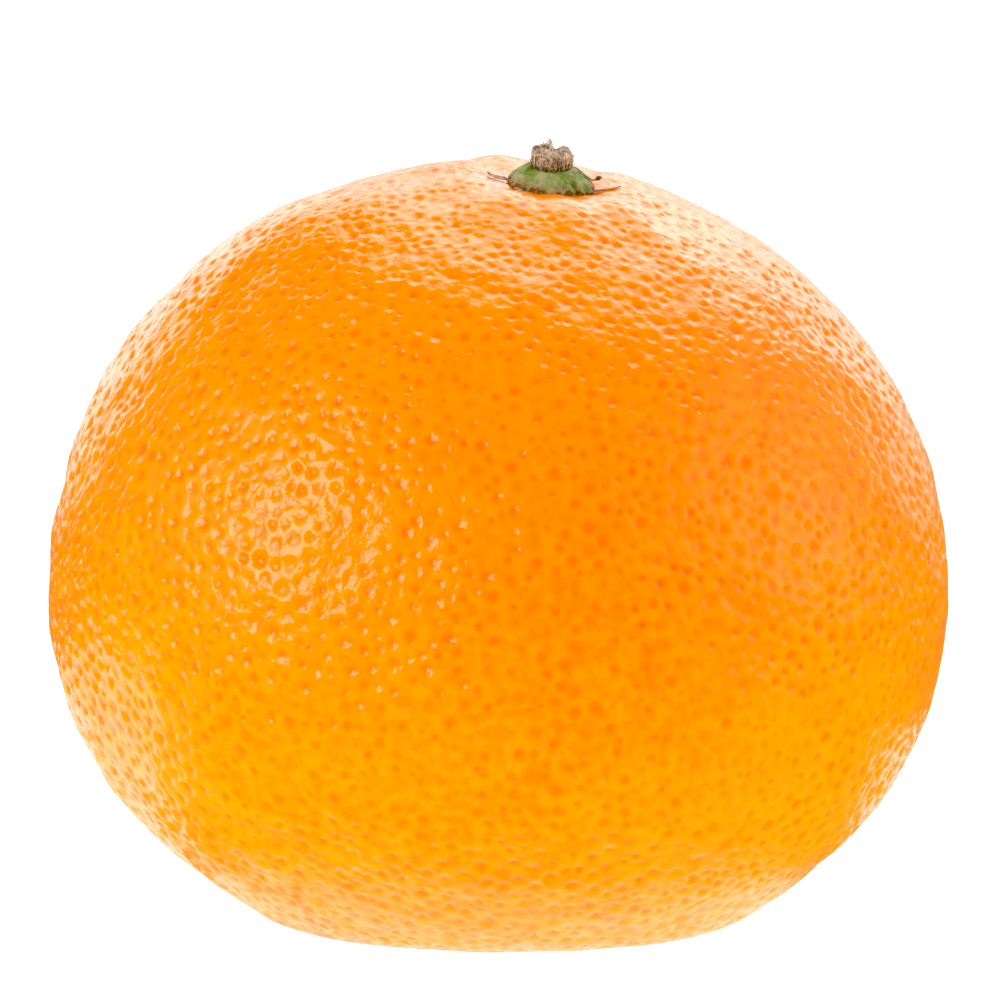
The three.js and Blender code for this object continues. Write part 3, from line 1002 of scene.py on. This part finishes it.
def blotches() -> bpy.types.NodeTree:
    """The group for soft random patches: a Mask from 0 to 1, by their count Per_metre and Contrast."""
    desk, given, result = new_group("blotches", ("Per_metre", "Contrast", "Pattern"), "Mask")
    inputs = {"Vector": desk.place(), "W": given["Pattern"], "Scale": given["Per_metre"], "Detail": 3.0}
    noise = desk.add("TexNoise", inputs, noise_dimensions="4D").outputs[0]
    spread = desk.times(desk.maths("SUBTRACT", noise, 0.5), given["Contrast"])
    mask = desk.add("Clamp", {"Value": desk.maths("ADD", spread, 0.5)}).outputs[0]
    desk.fill(result, {0: mask})
    return desk.tree


def grain() -> bpy.types.NodeTree:
    """The group for a fine waxy or fibrous grain: a Height in metres, for a Bump node."""
    desk, given, result = new_group("grain", ("Per_metre", "Rise"), "Height")
    inputs = {"Vector": desk.place(), "Scale": given["Per_metre"], "Detail": 2.0}
    noise = desk.add("TexNoise", inputs).outputs[0]
    desk.fill(result, {0: desk.times(noise, given["Rise"])})
    return desk.tree


@dataclass(frozen=True)
class Patches:
    """A pattern of soft random patches.

    Attributes:
        per_metre: Number of patches on a metre.
        contrast: How sharply they stand out.
        pattern: Chooses the pattern.
    """

    per_metre: float
    contrast: float
    pattern: float


@dataclass(frozen=True)
class Grain:
    """A fine grain of a surface.

    Attributes:
        per_metre: Number of grains on a metre.
        rise: Their height.
    """

    per_metre: float
    rise: float


class Effect:
    """The node groups that the finishes share."""

    def __init__(self) -> None:
        """Builds each group once."""
        self.blotches = blotches()
        self.grain = grain()

    def mask(self, desk: Desk, look: Patches) -> Socket:
        """A mask from 0 to 1 with a pattern of patches."""
        inputs = {"Per_metre": look.per_metre, "Contrast": look.contrast, "Pattern": look.pattern}
        return desk.group(self.blotches, inputs)

    def height(self, desk: Desk, look: Grain) -> Socket:
        """The height of a grain, in metres."""
        return desk.group(self.grain, {"Per_metre": look.per_metre, "Rise": look.rise})


def new_material(name: str) -> tuple[bpy.types.Material, Desk, bpy.types.Node]:
    """Starts a material.

    Args:
        name: The material's name.

    Returns:
        The material, a desk on its tree, and its Principled shader.
    """
    material = bpy.data.materials.new(name)
    material.use_nodes = True
    return material, Desk(material.node_tree), material.node_tree.nodes["Principled BSDF"]


@dataclass(frozen=True)
class RindFinish:
    """The rind's finish: satin wax over orange skin, with a darker, redder spot over each oil gland.

    Attributes:
        skin: Colour of the skin.
        ripe: Colour of its riper patches.
        riper: Pattern of those.
        pale: Colour of its paler patches.
        paler: Patterns of those, from broad ones to flecks, each with its strength.
        gland: Colour of the spot over a gland.
        spot_edge: Shares of a pit's radius where its spot starts and is full.
        spot: Strength of a spot.
        speck: Colour of a dead gland.
        speck_edge: Distances from a dead gland where its speck starts and is full.
        speck_strength: Strength of a speck.
        scar: Colour of the scar at the far end.
        scar_radius: Radius of that scar.
        wax_roughness: Roughness of the wax.
        wax_ior: Its index of refraction.
        wax: Its two grains.
        steepness: Tilt of the wax in a pit whose own steepness is 1.
        roundness: How far a pit is round, from 0, where its wall goes all the way to the ridges, to 1.
    """

    skin: Colour = (0.95, 0.16, 0.0, 1)
    ripe: Colour = (0.95, 0.124, 0.0, 1)
    riper: Patches = Patches(45.0, 2.6, 2.0)
    pale: Colour = (0.96, 0.27, 0.001, 1)
    paler: tuple[tuple[Patches, float], ...] = (
        (Patches(28.0, 2.4, 8.0), 0.7),
        (Patches(330.0, 3.0, 5.0), 0.3),
        (Patches(1150.0, 5.0, 11.0), 0.5),
    )
    gland: Colour = (0.96, 0.118, 0.0, 1)
    spot_edge: Edge = (0.9, 0.2)
    spot: float = 0.7
    speck: Colour = (0.22, 0.13, 0.01, 1)
    speck_edge: Edge = (0.28 * MM, 0.05 * MM)
    speck_strength: float = 0.28
    scar: Colour = (0.2, 0.09, 0.03, 1)
    scar_radius: float = 1.9 * MM
    wax_roughness: float = 0.235
    wax_ior: float = 1.42
    wax: tuple[Grain, Grain] = (Grain(1900.0, 0.075 * MM), Grain(750.0, 0.14 * MM))
    steepness: float = 0.3
    roundness: float = 0.35

    def material(self, effect: Effect, far_end: Array) -> bpy.types.Material:
        """Builds the material.

        Args:
            effect: The shared node groups.
            far_end: The middle of the scar at the end away from the stalk.

        Returns:
            The material.
        """
        material, desk, shader = new_material("rind")
        out = desk.vector("SUBTRACT", desk.attribute("rest"), desk.attribute("gland"))
        from_gland = desk.measure("LENGTH", out)
        radius, steepness, tint = desk.add("SeparateXYZ", {0: desk.attribute("pit")}).outputs
        share = desk.maths("DIVIDE", from_gland, radius)

        colour = desk.between(effect.mask(desk, self.riper), self.skin, self.ripe)
        for look, strength in self.paler:
            colour = desk.tinted(colour, self.pale, effect.mask(desk, look), strength)
        spot = desk.times(desk.ramp(share, *self.spot_edge), desk.maths("MINIMUM", tint, 1.0))
        colour = desk.tinted(colour, self.gland, spot, self.spot)
        dead = desk.maths("GREATER_THAN", tint, 0.75 * DEAD_TINT)
        speck = desk.times(desk.ramp(from_gland, *self.speck_edge), dead)
        colour = desk.tinted(colour, self.speck, speck, self.speck_strength)
        from_end = desk.measure("DISTANCE", desk.place(), tuple(far_end))
        scar = desk.ramp(from_end, self.scar_radius, 0.4 * self.scar_radius)
        colour = desk.between(scar, colour, self.scar)

        soft = desk.attribute("soft_normal")
        way = desk.blend(self.roundness, desk.attribute("to_ridge", "Fac"), share)
        wall = desk.maths("SINE", desk.times(desk.maths("MINIMUM", way, 1.0), math.pi))
        tilt = desk.times(desk.times(wall, steepness), self.steepness)
        inwards = desk.vector("SCALE", desk.vector("NORMALIZE", out), Scale=tilt)
        dimpled = desk.vector("NORMALIZE", desk.vector("SUBTRACT", soft, inwards))
        fine, coarse = (effect.height(desk, look) for look in self.wax)
        desk.fill(shader, {
            "Base Color": colour,
            "Roughness": 0.5,
            "Specular IOR Level": 0.0,
            "Normal": desk.in_world(soft),
            "Coat Weight": 1.0,
            "Coat IOR": self.wax_ior,
            "Coat Roughness": self.wax_roughness,
            "Coat Normal": desk.bump(desk.maths("ADD", fine, coarse), Normal=desk.in_world(dimpled)),
        })
        return material


@dataclass(frozen=True)
class CalyxFinish:
    """The calyx's finish: mottled green, and brown and dry at the rim, with painted shade at its outer edge.

    Attributes:
        green: Colour of the green.
        deep: Colour of its darker patches.
        deeper: Pattern of those.
        straw: Colour of its dry patches.
        drier: Pattern of those.
        straw_strength: Strength of those.
        dry: Colour of the dry rim.
        dry_edge: Shares of the way to the rim where that starts and is full.
        dry_fray: How far the dry patches move its edge.
        dead: Colour of the rim's outermost edge, where the calyx meets the rind: painted shade over the
            withered edge.
        dead_and_shade_edge: Shares of the way to the rim where that starts and is full.
        dead_and_shade_fray: How far its own pattern moves its edge.
        dead_and_shade_pattern: That pattern.
        grain: Grain of the surface.
    """

    green: Colour = (0.2, 0.25, 0.06, 1)
    deep: Colour = (0.1, 0.15, 0.02, 1)
    deeper: Patches = Patches(2300.0, 6.0, 9.0)
    straw: Colour = (0.42, 0.37, 0.2, 1)
    drier: Patches = Patches(900.0, 3.5, 1.0)
    straw_strength: float = 0.75
    dry: Colour = (0.33, 0.19, 0.1, 1)
    dry_edge: Edge = (0.8, 1.0)
    dry_fray: float = 0.35
    dead: Colour = (0.13, 0.04, 0.012, 1)
    dead_and_shade_edge: Edge = (0.9, 1.06)
    dead_and_shade_fray: float = 0.34
    dead_and_shade_pattern: Patches = Patches(3200.0, 2.6, 4.0)
    grain: Grain = Grain(4500.0, 0.05 * MM)

    def material(self, effect: Effect) -> bpy.types.Material:
        """Builds the material."""
        material, desk, shader = new_material("calyx")
        rim = desk.attribute("rim", "Fac")
        patches = effect.mask(desk, self.drier)
        colour = desk.between(effect.mask(desk, self.deeper), self.green, self.deep)
        colour = desk.tinted(colour, self.straw, patches, self.straw_strength)
        dry = desk.ramp(desk.frayed(rim, patches, self.dry_fray), *self.dry_edge)
        colour = desk.between(dry, colour, self.dry)
        # Near black at the rim's outer edge and on its flakes, where the calyx meets the rind: painted shade
        # over the withered edge.
        dead = desk.frayed(rim, effect.mask(desk, self.dead_and_shade_pattern), self.dead_and_shade_fray)
        desk.fill(shader, {
            "Base Color": desk.between(desk.ramp(dead, *self.dead_and_shade_edge), colour, self.dead),
            "Roughness": 0.6,
            "Specular IOR Level": 0.3,
            "Normal": desk.bump(effect.height(desk, self.grain)),
        })
        return material


@dataclass(frozen=True)
class FibreFinish:
    """The finish of dry fibre: pale where it is torn, paler still on the stub's lit side as a painted
    highlight, and darkened at its foot as painted shade.

    The mesh gives it "bleach", how pale a fibre is, raised as a painted highlight on the stub's front-left,
    lit side, and "rise", the share of the way up from the foot.

    Attributes:
        name: The material's name.
        pale: Colour of bleached fibre, and of the painted highlight on the stub's lit side.
        brown: Colour of sound dry fibre.
        dark: Colour of the painted shade at the foot and in the cracks, and of the dried tips' darkest
            parts.
        paler: Pattern of the pale patches.
        paled: How pale those are.
        bleached: How pale a fibre of bleach 1 is, its painted highlight included.
        darker: Pattern that moves the edge of the painted shade at the foot.
        dark_edge: Shares of the way up where the painted shade at the foot starts to fade and ends.
        dark_fray: How far the pattern moves that edge.
        dark_strength: Strength of the painted shade at the foot.
        grain: Grain of the surface.
    """

    name: str
    pale: Colour = (0.72, 0.54, 0.44, 1)
    brown: Colour = (0.27, 0.165, 0.105, 1)
    dark: Colour = (0.055, 0.028, 0.016, 1)
    paler: Patches = Patches(2600.0, 4.0, 6.0)
    paled: float = 0.85
    bleached: float = 0.7
    darker: Patches = Patches(7000.0, 3.0, 3.0)
    dark_edge: Edge = (0.05, 0.75)
    dark_fray: float = 0.7
    dark_strength: float = 0.85
    grain: Grain = Grain(9000.0, 0.03 * MM)

    def material(self, effect: Effect) -> bpy.types.Material:
        """Builds the material."""
        material, desk, shader = new_material(self.name)
        patches = desk.times(effect.mask(desk, self.paler), self.paled)
        # Paleness from patches and from each fibre's tone; on the stub's lit side that tone holds a painted
        # highlight.
        bleach_and_highlight = desk.times(desk.attribute("bleach_and_highlight", "Fac"), self.bleached)
        paled = desk.add("Clamp", {"Value": desk.maths("ADD", patches, bleach_and_highlight)}).outputs[0]
        colour = desk.between(paled, self.brown, self.pale)
        rise = desk.attribute("rise", "Fac")
        # Painted shade: the fibre darkens at the stub's foot, where it meets the calyx, and in patches up
        # its cracks. On the dried tips, their low tones take this dark.
        low = desk.frayed(rise, effect.mask(desk, self.darker), self.dark_fray)
        dark = desk.ramp(low, *self.dark_edge, self.dark_strength, 0.0)
        desk.fill(shader, {
            "Base Color": desk.between(dark, colour, self.dark),
            "Roughness": 0.8,
            "Specular IOR Level": 0.2,
            "Normal": desk.bump(effect.height(desk, self.grain)),
        })
        return material


@dataclass(frozen=True)
class FloorFinish:
    """The floor's finish: a light table that glows in front of the fruit and, in its sheen, behind it.

    All places are on the floor, counted from its middle under the fruit.

    Attributes:
        colour: Colour of the glass.
        seen: Its glow to the eye.
        front: Middle of the glow on the fruit's skin.
        reach: Distances from there where that glow starts and ends its fall.
        near: That glow at its middle.
        far: That glow far away.
        back: Direction in which the sheen's glow behind the fruit begins.
        back_edge: Distances that way where it starts and is full.
        left: Middle of its round outline.
        left_edge: Distances from there where it ends and is full.
        beneath_edge: Distances from the middle where the sheen's glow beneath the fruit ends and is full.
        beneath: Strength of that glow, where the one behind the fruit is 1.
        sheen_near: Both glows of the sheen, at strength 1.
        sheen_far: The sheen's glow elsewhere.
    """

    colour: Colour = (0.05, 0.05, 0.05, 1)
    seen: float = 1.5
    front: Place = (-14 * MM, -24 * MM, 0)
    reach: Edge = (60 * MM, 130 * MM)
    near: float = 2.15
    far: float = 0.1
    back: Place = (-0.17, 0.985, 0)
    back_edge: Edge = (-2 * MM, 12 * MM)
    left: Place = (-27 * MM, 30 * MM, 0)
    left_edge: Edge = (88 * MM, 70 * MM)
    beneath_edge: Edge = (28 * MM, 20 * MM)
    beneath: float = 0.75
    sheen_near: float = 1.65
    sheen_far: float = 0.05

    def material(self) -> bpy.types.Material:
        """Builds the material."""
        material, desk, shader = new_material("light_table")
        path = desk.add("LightPath").outputs
        place = desk.place()
        from_front = desk.measure("DISTANCE", place, self.front)
        shine = desk.ramp(from_front, *self.reach, self.near, self.far)
        back = desk.ramp(desk.measure("DOT_PRODUCT", place, self.back), *self.back_edge)
        left = desk.ramp(desk.measure("DISTANCE", place, self.left), *self.left_edge)
        beneath = desk.ramp(desk.measure("LENGTH", place), *self.beneath_edge, 0.0, self.beneath)
        near = desk.maths("MAXIMUM", desk.times(back, left), beneath)
        sheen = desk.ramp(near, 0.0, 1.0, self.sheen_far, self.sheen_near)
        glow = desk.blend(path["Is Glossy Ray"], shine, sheen)
        desk.fill(shader, {
            "Base Color": self.colour,
            "Roughness": 0.8,
            "Specular IOR Level": 0.1,
            "Emission Color": WHITE,
            "Emission Strength": desk.blend(path["Is Camera Ray"], glow, self.seen),
        })
        return material


# ---- The studio ----

class LampShape(Enum):
    """Outlines of a soft lamp."""

    ROUND = "ELLIPSE"
    STRAIGHT = "RECTANGLE"


@dataclass(frozen=True)
class SoftLamp:
    """A soft lamp that faces the fruit.

    Attributes:
        name: The lamp's name.
        azimuth: Side that it stands on, in degrees: 0 is in front, at -Y, and 90 is at +X.
        elevation: Height above the fruit's middle, in degrees.
        distance: Distance from the fruit's middle.
        width: Width of its face.
        height: Height of its face.
        radiance: Brightness of its face, where 1 is white.
        shape: Outline of its face.
    """

    name: str
    azimuth: float
    elevation: float
    distance: float
    width: float
    height: float
    radiance: float
    shape: LampShape = LampShape.STRAIGHT

    def build(self, middle: Vector) -> None:
        """Hangs the lamp round a point and turns it to face that point."""
        lamp = bpy.data.lights.new(self.name, "AREA")
        lamp.shape = self.shape.value
        lamp.size, lamp.size_y = self.width, self.height
        area = self.width * self.height * (math.pi / 4 if self.shape is LampShape.ROUND else 1)
        lamp.energy = self.radiance * math.pi * area
        holder = bpy.data.objects.new(self.name, lamp)
        towards = Vector(facing(self.azimuth - 90, self.elevation))
        holder.location = middle + towards * self.distance
        holder.rotation_euler = towards.to_track_quat("Z", "Y").to_euler()
        holder.visible_camera = False
        bpy.context.collection.objects.link(holder)


@dataclass(frozen=True)
class Glow:
    """A soft light on the room's walls.

    Attributes:
        azimuth: Side that it is on, in degrees: 0 is in front, at -Y, and 90 is at +X.
        elevation: Its height, in degrees.
        inner: Angle from its middle within which it is at full strength.
        outer: Angle from its middle where it ends.
        strength: Its brightness, where 1 is white.
    """

    azimuth: float
    elevation: float
    inner: float
    outer: float
    strength: float


# The room's lights on the skin.
SHINE = (
    Glow(180, 10, 20, 100, 0.15),
    Glow(0, 62, 15, 60, 0.1),
    Glow(88, 18, 15, 60, 3.5),
    Glow(-77, 18, 15, 55, 0.6),
    Glow(-88, 3, 15, 60, 2.3),
)
# The room's lights in the wax's sheen.
SHEEN = (
    Glow(163, 54, 14, 32, 4.4),
    Glow(-158, 18, 8, 27, 2.5),
    Glow(163, 22, 5, 23, 2.3),
    Glow(143, 12, 4, 20, 1.3),
)


@dataclass
class Studio:
    """The floor, the lamps, the pale surroundings and the camera.

    Attributes:
        form: The fruit.
        floor_side: Side of the floor.
        room_seen: Brightness of the room to the eye, where 1 is white.
        room_dim: Brightness of the room on the fruit, away from every soft light.
        camera_elevation: Height of the camera, in degrees.
        camera_distance: Its distance from the fruit's middle, in half widths of the fruit.
        focal_share: Its focal length, in widths of its film.
        aim_up: How far above the fruit's middle it aims, in half widths of the fruit.
        aim_left: How far to the left of it, in half widths of the fruit.
        blue_cut: Amount of blue below which the film shows none.
        lamps: The lamps.
    """

    form: FruitForm
    floor_side: float = 6.0
    room_seen: float = 1.1
    room_dim: float = 0.02
    camera_elevation: float = 5.5
    camera_distance: float = 14.0
    focal_share: float = 6.241
    aim_up: float = 0.1851
    aim_left: float = 0.0043
    blue_cut: float = 0.03
    lamps: tuple[SoftLamp, ...] = (
        SoftLamp("left_lamp", -54, 20, 0.8, 0.42, 0.42, 7.8, LampShape.ROUND),
        SoftLamp("right_lamp", 88, 7, 0.9, 0.3, 0.62, 1.15),
    )

    def build(self) -> None:
        """Builds all of it."""
        self.floor()
        self.surroundings()
        for lamp in self.lamps:
            lamp.build(self.form.middle)
        self.camera()
        film = bpy.context.scene.view_settings
        film.view_transform = "Standard"
        film.use_curve_mapping = True
        film.curve_mapping.black_level = (0, 0, self.blue_cut)

    def floor(self) -> None:
        """Lays a plain floor under the fruit."""
        deselect_all()
        bpy.ops.mesh.primitive_plane_add(size=self.floor_side)
        floor = bpy.context.object
        floor.name = "floor"
        floor.data.materials.append(FloorFinish().material())

    def surroundings(self) -> None:
        """Gives the room its light: white to the eye, with soft lights for the skin and for the sheen."""
        world = bpy.data.worlds.new("studio")
        world.use_nodes = True
        bpy.context.scene.world = world
        desk = Desk(world.node_tree)
        towards = desk.add("TexCoord").outputs["Generated"]
        path = desk.add("LightPath").outputs
        shine, sheen = (self.lit(desk, towards, glows) for glows in (SHINE, SHEEN))
        glow = desk.blend(path["Is Glossy Ray"], shine, sheen)
        seen = desk.blend(path["Is Camera Ray"], glow, self.room_seen)
        desk.fill(world.node_tree.nodes["Background"], {"Color": WHITE, "Strength": seen})

    def lit(self, desk: Desk, towards: Socket, glows: tuple[Glow, ...]) -> Socket:
        """Adds up what soft lights give in one direction."""
        total = self.room_dim
        for glow in glows:
            middle = tuple(facing(glow.azimuth - 90, glow.elevation))
            near = desk.measure("DOT_PRODUCT", towards, middle)
            edges = math.cos(math.radians(glow.outer)), math.cos(math.radians(glow.inner))
            total = desk.maths("ADD", total, desk.ramp(near, *edges, 0.0, glow.strength))
        return total

    def camera(self) -> None:
        """Sets up a long lens, a little above the fruit's middle."""
        size = self.form.half_width
        tilt = math.radians(self.camera_elevation)
        back = Vector((0, -math.cos(tilt), math.sin(tilt)))
        up = Vector((0, math.sin(tilt), math.cos(tilt)))
        data = bpy.data.cameras.new("camera")
        data.sensor_width = 36.0
        data.lens = self.focal_share * data.sensor_width
        camera = bpy.data.objects.new("camera", data)
        camera.location = self.form.middle + back * self.camera_distance * size
        target = self.form.middle + (up * self.aim_up - Vector((1, 0, 0)) * self.aim_left) * size
        camera.rotation_euler = (camera.location - target).to_track_quat("Z", "Y").to_euler()
        bpy.context.collection.objects.link(camera)
        bpy.context.scene.camera = camera


# ---- The orange ----

def report(piece: bpy.types.Object) -> None:
    """Logs a piece's name, size and number of triangles."""
    piece.data.calc_loop_triangles()
    corners = corners_of(piece.data)
    size = (corners.max(axis=0) - corners.min(axis=0)) / MM
    log.info("%s: %d triangles, %.1f x %.1f x %.1f mm", piece.name, len(piece.data.loop_triangles), *size)


def finish_piece(piece: bpy.types.Object, material: bpy.types.Material, slot: str, *nodes: str) -> None:
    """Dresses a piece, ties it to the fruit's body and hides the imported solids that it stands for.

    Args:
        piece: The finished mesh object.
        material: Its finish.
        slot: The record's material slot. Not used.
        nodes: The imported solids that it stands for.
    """
    piece.data.materials.clear()
    piece.data.materials.append(material)
    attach(piece, BODY)
    if nodes:
        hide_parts(*nodes)
    report(piece)


def main() -> None:
    """Builds the orange and its studio."""
    logging.basicConfig(level=logging.INFO, format="%(name)s: %(message)s")
    form = FruitForm(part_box("fruit"))
    effect = Effect()
    finish_piece(Rind(form).build(), RindFinish().material(effect, form.far_end), "rind", "fruit")
    button, tips = Calyx(form).build()
    finish_piece(button, CalyxFinish().material(effect), "calyx", "calyx")
    # The dried tips' colours; their dark also serves as the painted shadow along the calyx's rim under the
    # slivers.
    pale, brown, dark = (0.6, 0.43, 0.33, 1), (0.34, 0.2, 0.13, 1), (0.08, 0.035, 0.015, 1)
    finish_piece(tips, FibreFinish("dried_tip", pale, brown, dark).material(effect), "calyx")
    finish_piece(Stub(form).build(), FibreFinish("dry_stalk").material(effect), "dry_stalk", "stem_stub")
    Studio(form).build()


if __name__ == "__main__":
    main()
